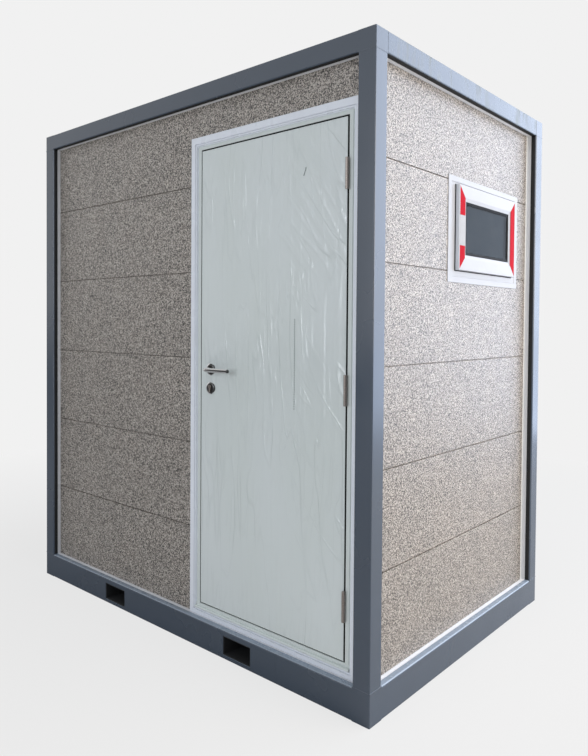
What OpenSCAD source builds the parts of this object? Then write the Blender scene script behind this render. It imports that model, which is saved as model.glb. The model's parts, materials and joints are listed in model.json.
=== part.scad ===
// Portable toilet cabin: welded steel frame, insulated walls, one outward-opening door
// and one small high window. Millimetres. X runs along the door wall, the door faces -Y,
// Z is up, and the origin is the middle of the base frame's underside.

/* [Cabin] */
// Overall length of the door wall
cabin_w = 2150; // [1900:10:2600]
// Overall depth of the window wall
cabin_d = 1480; // [1400:10:2000]
// Overall height
cabin_h = 2400; // [2330:10:2700]
// Wall panel thickness
wall_t = 50; // [40:1:55]
// Roof panel thickness
roof_t = 38; // [20:1:38]
// Floor board thickness
floor_t = 20; // [12:1:20]

/* [Steel frame] */
// Visible width of a corner post on each side
post_face = 75; // [70:1:90]
// Thickness of the flange in front of the walls
flange_t = 25; // [15:1:30]
// Height of the top beams
top_h = 75; // [60:1:90]
// Height of the base beams
base_h = 120; // [120:1:160]
// Distance the base beams reach inwards
base_reach = 100; // [98:1:110]
// Width of the middle cross beam under the floor
cross_w = 60; // [40:1:80]

/* [Wall edge trim] */
// Depth of the white trim between flange and wall
trim_t = 17; // [14:1:20]
// Width of the trim hidden behind the flange
trim_w = 20; // [10:1:22]

/* [Fork pockets] */
// Clear width of a pocket
pocket_w = 150; // [120:1:180]
// Clear height of a pocket
pocket_h = 72; // [60:1:72]
// Height of the pocket's floor above the ground
pocket_z = 20; // [12:1:22]
// Wall thickness of the pocket tubes
pocket_wall = 4; // [3:0.5:6]
// Distance between the two pocket centres
pocket_pitch = 848; // [700:1:900]

/* [Door] */
// Width of the door leaf
leaf_w = 774; // [700:1:780]
// Height of the door leaf
leaf_h = 1956; // [1900:1:1960]
// Thickness of the door leaf
leaf_t = 50; // [45:1:50]
// Gap between the leaf and its frame
door_gap = 5; // [5:0.5:6]
// Face width of the door frame at the sides
jamb_w = 22; // [20:1:24]
// Face width of the door frame at the top
head_w = 17; // [15:1:20]
// Overlap of the stop behind the leaf
stop_w = 15; // [10:1:18]
// Face width of the casing around the frame
casing_w = 36; // [30:1:36]
// Distance the casing stands out from the wall
casing_t = 12; // [8:1:13]
// Face height of the casing below the sill
casing_foot = 28; // [20:1:30]

/* [Hinges] */
// Height of one hinge
hinge_h = 112; // [90:1:120]
// Radius of a hinge knuckle
knuckle_r = 6.5; // [6:0.1:7]
// Radius of a hinge pin
pin_r = 3.5; // [3:0.1:4]
// Height of the lowest hinge's middle above the leaf's foot
hinge_low = 202; // [150:1:260]
// Height of the middle hinge's middle above the leaf's foot
hinge_mid = 980; // [900:1:1020]
// Height of the top hinge's middle above the leaf's foot
hinge_top = 1752; // [1650:1:1790]

/* [Lever handle] */
// Distance of the handle from the leaf's free edge
backset = 62; // [50:1:70]
// Height of the handle above the leaf's foot
handle_z = 1020; // [950:1:1060]
// Distance of the lock below the handle
lock_drop = 80; // [72:1:92]
// Radius of the round roses
rose_r = 26; // [24:0.5:27]
// Thickness of the round roses
rose_t = 8; // [6:0.5:9]
// Radius of the lever's round bar
lever_r = 9; // [8:0.5:9.5]
// Length of the lever from its turning axis
lever_len = 148; // [110:1:160]
// Distance of the lever's bar from the leaf
lever_out = 43; // [38:1:50]

/* [Window] */
// Distance of the window's middle behind the front face
window_y = 935; // [850:1:960]
// Height of the casing's lower edge
window_z = 1568; // [1450:1:1600]
// Width of the window casing
wcasing_w = 684; // [640:1:700]
// Height of the window casing
wcasing_h = 438; // [436:1:450]
// Face width of the window casing
wcasing_face = 30; // [24:1:32]
// Distance the casing stands out from the wall
wcasing_t = 4; // [3:0.5:4]
// Width of the sash
sash_w = 560; // [520:1:560]
// Height of the sash
sash_h = 354; // [340:1:356]
// Thickness of the sash
sash_t = 16; // [14:0.5:18]
// Face width of the sash members
sash_face = 66; // [50:1:70]

/* [Hidden] */
$fn = 48;

steel = "DarkSlateGray";
stone = "Silver";
white = "WhiteSmoke";
bright = "LightGray";
eps = 1;

// Half sizes of the cabin and of the clear opening between the posts
hx = cabin_w / 2;
hy = cabin_d / 2;
open_x = hx - post_face;
open_y = hy - post_face;
top_z = cabin_h - top_h;

// Wall planes
recess = flange_t + trim_t;
wall_out_x = hx - recess;
wall_out_y = hy - recess;
wall_in_x = wall_out_x - wall_t;
wall_in_y = wall_out_y - wall_t;
bearing_z = 100;
roof_drop = 12;
roof_z = cabin_h - roof_drop - roof_t;
trim_gap = 2;
floor_gap = 10;

// Door set out from the right-hand post
casing_gap = 1;
casing_x1 = open_x - casing_gap;
hole_x1 = casing_x1 - casing_w;
jamb_x1 = hole_x1 - jamb_w;
leaf_x1 = jamb_x1 - door_gap;
leaf_x0 = leaf_x1 - leaf_w;
jamb_x0 = leaf_x0 - door_gap;
hole_x0 = jamb_x0 - jamb_w;
casing_x0 = hole_x0 - casing_w;
sill_z = base_h + casing_foot;
sill_face = 22;
leaf_z0 = sill_z + sill_face + door_gap;
leaf_z1 = leaf_z0 + leaf_h;
head_z = leaf_z1 + door_gap;
hole_z1 = head_z + head_w;
casing_head = 39;
casing_z1 = hole_z1 + casing_head;
leaf_out = 4;
leaf_y0 = -wall_out_y - leaf_out;
leaf_y1 = leaf_y0 + leaf_t;
casing_y0 = -wall_out_y - casing_t;
frame_in = 8;
frame_y1 = -wall_in_y + frame_in;
sill_lip = 4;
lip_r = 5;

// Hinges
axis_x = leaf_x1 + door_gap / 2;
axis_out = 9;
axis_y = leaf_y0 - axis_out;
hinge_rows = [hinge_low, hinge_mid, hinge_top];
knuckles = 5;
knuckle_gap = 0.6;
plate_t = 1.6;
plate_reach = 38;
pin_clear = 0.06;
pin_short = 1;
slot_half = 9;
slot_end = 1;

// Lever handle
lever_x = leaf_x0 + backset;
lever_z = leaf_z0 + handle_z;
lock_z = lever_z - lock_drop;
bore_clear = 0.6;
spindle_r = 5;
spindle_clear = 1;
spindle_out = 2;
plug_r = 8.5;
plug_out = 3;
plug_clear = 0.1;

// Window
win_y = window_y - hy;
win_top = window_z + wcasing_h;
casing_in_z0 = window_z + wcasing_face;
casing_top_cut = 2;
casing_in_z1 = win_top - wcasing_face + casing_top_cut;
casing_in_y = wcasing_w / 2 - wcasing_face;
frame_side = 60;
frame_rail = 44;
sash_recess = 22;
sash_x1 = hx - sash_recess;
sash_x0 = sash_x1 - sash_t;
sash_drop = 4;
sash_z1 = casing_in_z1 - sash_drop;
sash_z0 = sash_z1 - sash_h;
gasket_w = 12;
gasket_in = 5;
glass_t = 6;
glass_gap = 0.5;
glass_clear = 1;
rebate = 10;
window_frame_in = 6;
window_frame_out = 1;

module slab(low, high) {
    translate(low)
        cube(high - low);
}

// Mirrors a shape drawn for the +X, +Y corner to the corner asked for
module corner(side_x, side_y) {
    scale([side_x, side_y, 1])
        children();
}

// Two flanges meeting at a right angle, drawn for the +X, +Y corner
module angle_post(z0, z1) {
    linear_extrude(height = z1 - z0)
        polygon([
            [hx, hy], [open_x, hy], [open_x, hy - flange_t],
            [hx - flange_t, hy - flange_t], [hx - flange_t, open_y], [hx, open_y]
        ]);
}

module post(side_x, side_y) {
    translate([0, 0, base_h])
        corner(side_x, side_y)
            angle_post(base_h, top_z);
}

module post_front_left() { color(steel) post(-1, -1); }

module post_front_right() { color(steel) post(1, -1); }

module post_back_left() { color(steel) post(-1, 1); }

module post_back_right() { color(steel) post(1, 1); }

module top_beam_front() {
    color(steel)
        slab([-open_x, -hy, top_z], [open_x, -hy + flange_t, cabin_h]);
}

module top_beam_back() {
    color(steel)
        slab([-open_x, hy - flange_t, top_z], [open_x, hy, cabin_h]);
}

module top_beam_left() {
    color(steel)
        slab([-hx, -open_y, top_z], [-hx + flange_t, open_y, cabin_h]);
}

module top_beam_right() {
    color(steel)
        slab([hx - flange_t, -open_y, top_z], [hx, open_y, cabin_h]);
}

// A long base beam with its two fork holes, drawn for the front
module long_base_beam() {
    outer_w = pocket_w + 2 * pocket_wall;
    difference() {
        union() {
            slab([-open_x, -hy, 0], [open_x, -hy + flange_t, base_h]);
            slab([-hx + flange_t, -hy + flange_t, 0], [hx - flange_t, -hy + base_reach, bearing_z]);
        }
        for (side = [-1, 1])
            slab(
                [side * pocket_pitch / 2 - outer_w / 2, -hy - eps, pocket_z - pocket_wall],
                [side * pocket_pitch / 2 + outer_w / 2, -hy + base_reach + eps,
                    pocket_z + pocket_h + pocket_wall]
            );
    }
}

module base_beam_front() { color(steel) long_base_beam(); }

module base_beam_back() { color(steel) scale([1, -1, 1]) long_base_beam(); }

// A short base beam between the long ones, drawn for the right
module short_base_beam() {
    slab([hx - flange_t, -open_y, 0], [hx, open_y, base_h]);
    slab([hx - base_reach, -hy + base_reach, 0], [hx - flange_t, hy - base_reach, bearing_z]);
}

module base_beam_left() { color(steel) scale([-1, 1, 1]) short_base_beam(); }

module base_beam_right() { color(steel) short_base_beam(); }

module top_corner_blocks() {
    cap_t = 11;
    color(steel)
        for (side_x = [-1, 1], side_y = [-1, 1])
            corner(side_x, side_y) {
                translate([0, 0, top_z])
                    angle_post(top_z, cabin_h);
                slab([open_x, open_y, cabin_h - cap_t], [hx, hy, cabin_h]);
            }
}

module base_corner_blocks() {
    color(steel)
        for (side_x = [-1, 1], side_y = [-1, 1])
            corner(side_x, side_y)
                angle_post(0, base_h);
}

// A rectangular tube right through the base, open at both ends
module fork_tube(side) {
    inset = 2;
    translate([side * pocket_pitch / 2, 0, 0])
        difference() {
            slab(
                [-pocket_w / 2 - pocket_wall, -hy + inset, pocket_z - pocket_wall],
                [pocket_w / 2 + pocket_wall, hy - inset, pocket_z + pocket_h + pocket_wall]
            );
            slab([-pocket_w / 2, -hy, pocket_z], [pocket_w / 2, hy, pocket_z + pocket_h]);
        }
}

module fork_tube_left() { color(steel) fork_tube(-1); }

module fork_tube_right() { color(steel) fork_tube(1); }

module cross_beam() {
    color(steel)
        slab([-cross_w / 2, -hy + base_reach, 0], [cross_w / 2, hy - base_reach, bearing_z]);
}

module floor_board() {
    color(bright)
        slab([-wall_in_x, -wall_in_y + floor_gap, bearing_z], [wall_in_x, wall_in_y, bearing_z + floor_t]);
}

module roof_panel() {
    color(bright)
        slab([-hx + flange_t, -hy + flange_t, roof_z], [hx - flange_t, hy - flange_t, roof_z + roof_t]);
}

module front_wall_latch_side() {
    color(stone)
        slab([-wall_out_x, -wall_out_y, bearing_z], [hole_x0, -wall_in_y, roof_z]);
}

module front_wall_over_door() {
    color(stone)
        slab([hole_x0, -wall_out_y, hole_z1], [hole_x1, -wall_in_y, roof_z]);
}

module front_wall_hinge_side() {
    color(stone)
        slab([hole_x1, -wall_out_y, bearing_z], [wall_out_x, -wall_in_y, roof_z]);
}

module back_wall() {
    color(stone)
        slab([-wall_out_x, wall_in_y, bearing_z], [wall_out_x, wall_out_y, roof_z]);
}

module left_wall() {
    color(stone)
        slab([-wall_out_x, -wall_in_y, bearing_z], [-wall_in_x, wall_in_y, roof_z]);
}

module window_wall() {
    color(stone)
        difference() {
            slab([wall_in_x, -wall_in_y, bearing_z], [wall_out_x, wall_in_y, roof_z]);
            slab(
                [wall_in_x - eps, win_y - casing_in_y, casing_in_z0],
                [wall_out_x + eps, win_y + casing_in_y, casing_in_z1]
            );
        }
}

// Edge trim of a long wall, drawn for the front
module long_trim() {
    difference() {
        slab(
            [-open_x - trim_w, -hy + flange_t, bearing_z],
            [open_x + trim_w, -wall_out_y, roof_z - trim_gap]
        );
        slab([-open_x, -hy, base_h], [open_x, -wall_out_y + eps, top_z]);
    }
}

module trim_front() { color(white) long_trim(); }

module trim_back() { color(white) scale([1, -1, 1]) long_trim(); }

// Edge trim of a short wall, drawn for the right
module short_trim() {
    low_z = bearing_z + trim_gap;
    difference() {
        slab(
            [wall_out_x, -open_y - trim_w, low_z],
            [hx - flange_t, open_y + trim_w, roof_z - trim_gap]
        );
        slab([wall_out_x - eps, -open_y, base_h], [hx, open_y, top_z]);
    }
}

module trim_left() { color(white) scale([-1, 1, 1]) short_trim(); }

module trim_right() { color(white) short_trim(); }

module door_casing() {
    color(white)
        difference() {
            slab([casing_x0, casing_y0, base_h], [casing_x1, -wall_out_y, casing_z1]);
            slab([hole_x0, casing_y0 - eps, sill_z], [hole_x1, -wall_out_y + eps, hole_z1]);
        }
}

module door_frame() {
    color(white) {
        difference() {
            slab([hole_x0, leaf_y0, sill_z + sill_face], [hole_x1, frame_y1, hole_z1]);
            slab([jamb_x0, leaf_y0 - eps, sill_z], [jamb_x1, leaf_y1 + door_gap, head_z]);
            slab([jamb_x0 + stop_w, leaf_y0, sill_z], [jamb_x1 - stop_w, frame_y1 + eps, head_z - stop_w]);
        }
    }
}

module door_sill() {
    color(bright) {
        slab([hole_x0, -wall_out_y, bearing_z], [hole_x1, frame_y1, sill_z + sill_face]);
        slab([hole_x0, casing_y0 - sill_lip + lip_r, sill_z], [hole_x1, -wall_out_y, sill_z + 2 * lip_r]);
        translate([hole_x0, casing_y0 - sill_lip + lip_r, sill_z + lip_r])
            rotate([0, 90, 0])
                cylinder(r = lip_r, h = hole_x1 - hole_x0);
    }
}

module door_leaf() {
    color(white)
        difference() {
            slab([leaf_x0, leaf_y0, leaf_z0], [leaf_x1, leaf_y1, leaf_z1]);
            translate([lever_x, leaf_y0 - eps, lever_z])
                rotate([-90, 0, 0])
                    cylinder(r = spindle_r + spindle_clear, h = leaf_t + 2 * eps);
        }
}

// One knuckle of a hinge, counted from the bottom
module knuckle(index, foot_z) {
    pitch = hinge_h / knuckles;
    translate([axis_x, axis_y, foot_z + index * pitch + knuckle_gap / 2])
        cylinder(r = knuckle_r, h = pitch - knuckle_gap);
}

// The slot a knuckle of the other half passes through in a plate
module knuckle_slot(index, foot_z) {
    pitch = hinge_h / knuckles;
    slab(
        [axis_x - slot_half, axis_y - slot_half, foot_z + index * pitch - knuckle_gap / 2],
        [axis_x + slot_half, leaf_y0 - slot_end, foot_z + (index + 1) * pitch + knuckle_gap / 2]
    );
}

module hinge_frame_side() {
    color(bright)
        for (row = hinge_rows) {
            foot_z = leaf_z0 + row - hinge_h / 2;
            for (index = [0, 2, 4])
                knuckle(index, foot_z);
            translate([axis_x, axis_y, foot_z + pin_short])
                cylinder(r = pin_r, h = hinge_h - 2 * pin_short);
            difference() {
                slab(
                    [jamb_x1 - plate_t, axis_y, foot_z + knuckle_gap],
                    [jamb_x1, leaf_y0 + plate_reach, foot_z + hinge_h - knuckle_gap]
                );
                for (index = [1, 3])
                    knuckle_slot(index, foot_z);
            }
        }
}

module hinge_leaf_side() {
    color(bright)
        for (row = hinge_rows) {
            foot_z = leaf_z0 + row - hinge_h / 2;
            difference() {
                union() {
                    for (index = [1, 3])
                        knuckle(index, foot_z);
                    difference() {
                        slab(
                            [leaf_x1, axis_y, foot_z + knuckle_gap],
                            [leaf_x1 + plate_t, leaf_y0 + plate_reach, foot_z + hinge_h - knuckle_gap]
                        );
                        for (index = [0, 2, 4])
                            knuckle_slot(index, foot_z);
                    }
                }
                translate([axis_x, axis_y, foot_z - eps])
                    cylinder(r = pin_r + pin_clear, h = hinge_h + 2 * eps);
            }
        }
}

// A round plate lying on one face of the leaf, with a bore through it
module rose(face_y, outward, centre_z, bore_r) {
    translate([lever_x, face_y, centre_z])
        rotate([-90 * outward, 0, 0])
            difference() {
                cylinder(r = rose_r, h = rose_t);
                translate([0, 0, -eps])
                    cylinder(r = bore_r, h = rose_t + 2 * eps);
            }
}

module door_roses() {
    color(bright) {
        rose(leaf_y0, -1, lever_z, lever_r + bore_clear);
        rose(leaf_y1, 1, lever_z, lever_r + bore_clear);
        rose(leaf_y0, -1, lock_z, plug_r);
        rose(leaf_y1, 1, lock_z, plug_r);
    }
}

// A neck standing out from the leaf and a round bar along it
module lever(face_y, outward) {
    start = 0.5;
    translate([lever_x, face_y, lever_z])
        scale([1, outward, 1]) {
            translate([0, start, 0])
                rotate([-90, 0, 0])
                    cylinder(r = lever_r, h = lever_out - start);
            translate([0, lever_out, 0])
                sphere(r = lever_r);
            translate([0, lever_out, 0])
                rotate([0, 90, 0])
                    cylinder(r = lever_r, h = lever_len - lever_r);
            translate([lever_len - lever_r, lever_out, 0])
                sphere(r = lever_r);
        }
}

module lever_handle() {
    color(bright) {
        lever(leaf_y0, -1);
        lever(leaf_y1, 1);
        translate([lever_x, leaf_y0 - spindle_out, lever_z])
            rotate([-90, 0, 0])
                cylinder(r = spindle_r, h = leaf_t + 2 * spindle_out);
    }
}

module lock_cylinder() {
    color(bright)
        for (face = [[leaf_y0, -1], [leaf_y1, 1]])
            translate([lever_x, face[0], lock_z])
                rotate([-90 * face[1], 0, 0])
                    cylinder(r = plug_r - plug_clear, h = rose_t + plug_out);
}

// A rectangular ring standing on the window wall
module window_ring(x0, x1, half_y, z0, z1, side, rail) {
    difference() {
        slab([x0, win_y - half_y, z0], [x1, win_y + half_y, z1]);
        slab(
            [x0 - eps, win_y - half_y + side, z0 + rail],
            [x1 + eps, win_y + half_y - side, z1 - rail]
        );
    }
}

module window_casing() {
    color(white)
        difference() {
            slab(
                [wall_out_x, win_y - wcasing_w / 2, window_z],
                [wall_out_x + wcasing_t, win_y + wcasing_w / 2, win_top]
            );
            slab(
                [wall_out_x - eps, win_y - casing_in_y, casing_in_z0],
                [wall_out_x + wcasing_t + eps, win_y + casing_in_y, casing_in_z1]
            );
        }
}

module window_frame() {
    color(white)
        window_ring(
            wall_in_x - window_frame_in, wall_out_x + window_frame_out,
            casing_in_y, casing_in_z0, casing_in_z1,
            frame_side, frame_rail
        );
}

module window_gasket() {
    color("Black")
        window_ring(
            wall_out_x + window_frame_out, sash_x0, sash_w / 2 - gasket_in,
            sash_z0 + gasket_in, sash_z1 - gasket_in, gasket_w, gasket_w
        );
}

module window_sash() {
    color(white)
        difference() {
            window_ring(
                sash_x0, sash_x1, sash_w / 2, sash_z0, sash_z1, sash_face, sash_face
            );
            slab(
                [sash_x0 - eps, win_y - sash_w / 2 + sash_face - rebate, sash_z0 + sash_face - rebate],
                [sash_x0 + sash_t / 2, win_y + sash_w / 2 - sash_face + rebate, sash_z1 - sash_face + rebate]
            );
        }
}

module window_glass() {
    edge = sash_face - rebate + glass_clear;
    glass_x1 = sash_x0 + sash_t / 2 - glass_gap;
    color("LightBlue")
        slab(
            [glass_x1 - glass_t, win_y - sash_w / 2 + edge, sash_z0 + edge],
            [glass_x1, win_y + sash_w / 2 - edge, sash_z1 - edge]
        );
}

post_front_left();
post_front_right();
post_back_left();
post_back_right();
top_beam_front();
top_beam_back();
top_beam_left();
top_beam_right();
base_beam_front();
base_beam_back();
base_beam_left();
base_beam_right();
top_corner_blocks();
base_corner_blocks();
fork_tube_left();
fork_tube_right();
cross_beam();
floor_board();
roof_panel();
front_wall_latch_side();
front_wall_over_door();
front_wall_hinge_side();
back_wall();
left_wall();
window_wall();
trim_front();
trim_back();
trim_left();
trim_right();
door_casing();
door_frame();
door_sill();
door_leaf();
hinge_frame_side();
hinge_leaf_side();
door_roses();
lever_handle();
lock_cylinder();
window_casing();
window_frame();
window_gasket();
window_sash();
window_glass();
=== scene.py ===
"""Looks of a small steel-framed toilet cabin, built around its packed construction model."""

import json
import math
import random

import bmesh
import bpy
from bpy.props import FloatProperty, FloatVectorProperty, IntProperty
from mathutils import Matrix, Vector, noise


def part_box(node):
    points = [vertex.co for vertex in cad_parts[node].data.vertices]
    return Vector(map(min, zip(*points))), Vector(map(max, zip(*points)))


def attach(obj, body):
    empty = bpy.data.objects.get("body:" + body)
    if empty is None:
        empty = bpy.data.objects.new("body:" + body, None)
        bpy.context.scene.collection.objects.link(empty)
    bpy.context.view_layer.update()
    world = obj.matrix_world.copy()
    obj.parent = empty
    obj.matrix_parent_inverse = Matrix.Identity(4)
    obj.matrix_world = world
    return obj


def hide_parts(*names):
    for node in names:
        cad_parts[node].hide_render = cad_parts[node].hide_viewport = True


bl_info = {
    "name": "Site Cabin Looks",
    "version": (1, 0, 0),
    "blender": (4, 5, 0),
    "location": "View3D > Sidebar > Cabin",
    "description": "Builds the painted frame, stone boards, door and window of a small cabin",
    "category": "Add Mesh",
}

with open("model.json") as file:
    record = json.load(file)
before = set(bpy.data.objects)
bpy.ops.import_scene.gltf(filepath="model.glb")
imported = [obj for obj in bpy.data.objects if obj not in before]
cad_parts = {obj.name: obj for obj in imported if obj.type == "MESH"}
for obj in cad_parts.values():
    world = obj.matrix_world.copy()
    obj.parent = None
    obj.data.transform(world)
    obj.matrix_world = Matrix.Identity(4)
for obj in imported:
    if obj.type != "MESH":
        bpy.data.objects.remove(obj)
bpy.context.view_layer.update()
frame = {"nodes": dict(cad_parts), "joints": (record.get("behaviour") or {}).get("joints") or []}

MM = 0.001


# ---------------------------------------------------------------------------
# Places, all taken from the frame, in metres
# ---------------------------------------------------------------------------

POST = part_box("post_front_right")
TOP_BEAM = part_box("top_beam_front")
BASE_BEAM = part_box("base_beam_front")
BACK_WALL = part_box("back_wall")
WINDOW_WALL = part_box("window_wall")
LEFT_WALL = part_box("left_wall")
LATCH_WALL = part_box("front_wall_latch_side")
OVER_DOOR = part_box("front_wall_over_door")
TRIM_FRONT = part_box("trim_front")
TRIM_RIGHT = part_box("trim_right")
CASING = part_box("door_casing")
DOOR_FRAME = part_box("door_frame")
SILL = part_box("door_sill")
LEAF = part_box("door_leaf")
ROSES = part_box("door_roses")
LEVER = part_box("lever_handle")
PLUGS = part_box("lock_cylinder")
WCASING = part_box("window_casing")
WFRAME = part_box("window_frame")
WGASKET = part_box("window_gasket")
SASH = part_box("window_sash")
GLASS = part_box("window_glass")
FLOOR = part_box("floor_board")
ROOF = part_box("roof_panel")

HALF_X = POST[1].x
HALF_Y = -POST[0].y
OPEN_X = POST[0].x
OPEN_Y = -POST[1].y
BASE_TOP = POST[0].z
SOFFIT = POST[1].z
TOP = TOP_BEAM[1].z
FLANGE = TOP_BEAM[1].y - TOP_BEAM[0].y
WALL_OUT_X = WINDOW_WALL[1].x
WALL_OUT_Y = BACK_WALL[1].y
WALL_IN_X = WINDOW_WALL[0].x
WALL_IN_Y = BACK_WALL[0].y
WALL_T = WALL_OUT_Y - WALL_IN_Y
BEARING = BACK_WALL[0].z
HINGE_AXIS = Vector(frame["joints"][0]["pos_m"])
LEVER_AXIS = Vector(frame["joints"][1]["pos_m"])


# ---------------------------------------------------------------------------
# Colour and nodes
# ---------------------------------------------------------------------------

def linear(hex_colour, alpha=1.0):
    """An sRGB hex colour such as "#4A5560" as linear red, green, blue and alpha."""
    channels = [int(hex_colour[i:i + 2], 16) / 255 for i in (1, 3, 5)]
    return tuple(c / 12.92 if c <= 0.04045 else ((c + 0.055) / 1.055) ** 2.4 for c in channels) + (alpha,)


def add(tree, kind, inputs=None, **settings):
    """Adds a node, sets its settings, and sets or links its inputs."""
    node = tree.nodes.new(kind)
    for name, value in settings.items():
        setattr(node, name, value)
    for key, value in (inputs or {}).items():
        if isinstance(value, bpy.types.NodeSocket):
            tree.links.new(value, node.inputs[key])
        else:
            node.inputs[key].default_value = value
    return node


def per_metre(size_mm):
    """Texture scale whose pattern repeats about every size_mm."""
    return 1000 / size_mm


def new_material(name):
    """An empty material with its output, and the place on the object in metres."""
    material = bpy.data.materials.new(name)
    material.use_nodes = True
    tree = material.node_tree
    tree.nodes.clear()
    output = add(tree, "ShaderNodeOutputMaterial")
    place = add(tree, "ShaderNodeTexCoord").outputs["Object"]
    return material, tree, output, place


def ramp(tree, value, low, high, to_low=0.0, to_high=1.0):
    """Stretches a value between low and high to a new range, held at its ends."""
    return add(tree, "ShaderNodeMapRange", {
        "Value": value, "From Min": low, "From Max": high, "To Min": to_low, "To Max": to_high,
    }).outputs["Result"]


def blend(tree, factor, first, second, mode="MIX"):
    """Mixes two colours."""
    return add(tree, "ShaderNodeMix", {0: factor, 6: first, 7: second}, data_type="RGBA", blend_type=mode).outputs[2]


def calc(tree, operation, first, second=0.0):
    """One sum on one or two values."""
    return add(tree, "ShaderNodeMath", {0: first, 1: second}, operation=operation).outputs["Value"]


def stretched(tree, place, scale):
    """The place, scaled along each axis, so that a pattern runs out into streaks."""
    return add(tree, "ShaderNodeMapping", {"Vector": place, "Scale": scale}).outputs["Vector"]


def fractal(tree, place, size_mm, detail=2.0, roughness=0.5, distortion=0.0):
    """Cloudy noise whose lumps are about size_mm across."""
    return add(tree, "ShaderNodeTexNoise", {
        "Vector": place, "Scale": per_metre(size_mm), "Detail": detail,
        "Roughness": roughness, "Distortion": distortion,
    }).outputs["Fac"]


def bump(tree, height, depth_mm, strength=1.0, below=None):
    """A relief of depth_mm from a height between 0 and 1."""
    inputs = {"Height": height, "Distance": depth_mm * MM, "Strength": strength}
    if below is not None:
        inputs["Normal"] = below
    return add(tree, "ShaderNodeBump", inputs).outputs["Normal"]


def shade(tree, output, colour, roughness, normal=None, **plain):
    """The main shader. Plain values are set on its own sockets."""
    inputs = {"Base Color": colour, "Roughness": roughness}
    if normal is not None:
        inputs["Normal"] = normal
    inputs.update({name.replace("_", " "): value for name, value in plain.items()})
    shader = add(tree, "ShaderNodeBsdfPrincipled", inputs)
    tree.links.new(shader.outputs["BSDF"], output.inputs["Surface"])
    return shader


# ---------------------------------------------------------------------------
# Materials
# ---------------------------------------------------------------------------

def enamel_on_steel(name, colour, stains=0.0):
    """Sprayed alkyd enamel on folded sheet: a wet gloss with orange peel, and slow waves from welding."""
    material, tree, output, place = new_material(name)
    cloud = fractal(tree, place, 260, 3, 0.55)
    tint = blend(tree, ramp(tree, cloud, 0.3, 0.7, 0.0, 0.5), colour, [c * 0.8 for c in colour[:3]] + [1])
    run = fractal(tree, stretched(tree, place, (1.0, 1.0, 0.22)), 45, 5, 0.62)
    dust = ramp(tree, run, 0.5, 0.78, 0.0, stains)
    tint = blend(tree, dust, tint, linear("#757D79"))
    peel = fractal(tree, place, 5, 1)
    wave = fractal(tree, place, 180, 1)
    normal = bump(tree, wave, 1.2, 0.5)
    normal = bump(tree, peel, 0.12, 0.35, normal)
    rough = calc(tree, "ADD", ramp(tree, cloud, 0.3, 0.7, 0.2, 0.3), calc(tree, "MULTIPLY", dust, 0.5))
    shade(tree, output, tint, rough, normal, IOR=1.7)
    return material


def primer_on_steel(name, colour):
    """Zinc-rich priming coat, matt and a little dusty, inside the base where no gloss coat reaches; on the frame's
    inner reveals and under the top beams the same near-black coat is painted shade.
    """
    material, tree, output, place = new_material(name)
    cloud = fractal(tree, place, 90, 4, 0.6)
    tint = blend(tree, ramp(tree, cloud, 0.35, 0.7), colour, [c * 0.6 for c in colour[:3]] + [1])
    shade(tree, output, tint, 0.75, bump(tree, fractal(tree, place, 3, 2), 0.1, 0.4), IOR=1.5)
    return material


def stone_fleck_board(name, ground, light, dark, warm):
    """Colour-coated steel, rolled with a pebbled relief and printed with light and dark stone flecks."""
    material, tree, output, place = new_material(name)
    warp = add(tree, "ShaderNodeTexNoise", {"Vector": place, "Scale": per_metre(13), "Detail": 1.0})
    bent = add(tree, "ShaderNodeVectorMath", {
        0: place,
        1: add(tree, "ShaderNodeVectorMath", {0: warp.outputs["Color"], 3: 0.010}, operation="SCALE").outputs[0],
    }, operation="ADD").outputs[0]
    fleck = fractal(tree, bent, 4.9, 2.5, 0.62, 0.5)
    grain = fractal(tree, bent, 2.7, 2, 0.6)
    mixed = calc(tree, "ADD", calc(tree, "MULTIPLY", fleck, 0.68), calc(tree, "MULTIPLY", grain, 0.32))
    patch = fractal(tree, place, 120, 2)
    base = blend(tree, ramp(tree, patch, 0.35, 0.65), ground, warm)
    tint = blend(tree, ramp(tree, mixed, 0.505, 0.55), base, light)
    tint = blend(tree, ramp(tree, mixed, 0.495, 0.455), tint, dark)
    normal = bump(tree, mixed, 1.6, 0.55)
    shade(tree, output, tint, 0.42, normal, IOR=1.68)
    return material


def coated_sheet(name, colour, roughness=0.35, soil=0.12):
    """Factory-coated steel sheet: smooth and even, with a breath of dust."""
    material, tree, output, place = new_material(name)
    cloud = fractal(tree, place, 140, 4, 0.6)
    tint = blend(tree, ramp(tree, cloud, 0.4, 0.75, 0.0, soil), colour, linear("#8C8A84"))
    rough = ramp(tree, cloud, 0.3, 0.7, roughness - 0.04, roughness + 0.06)
    shade(tree, output, tint, rough, bump(tree, fractal(tree, place, 60, 1), 0.25, 0.3), IOR=1.5)
    return material


def creases(tree, place, size_mm, width, turn, stretch):
    """Thin long folds, drawn where a warped cloud pattern crosses its middle value."""
    along = add(tree, "ShaderNodeMapping", {"Vector": place, "Rotation": (0, turn, 0)}).outputs["Vector"]
    cloud = fractal(tree, stretched(tree, along, (1.0, 1.0, stretch)), size_mm, 1.5, 0.4, 0.35)
    away = calc(tree, "ABSOLUTE", calc(tree, "SUBTRACT", cloud, 0.5))
    return ramp(tree, away, 0.0, width, 1.0, 0.0)


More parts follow.
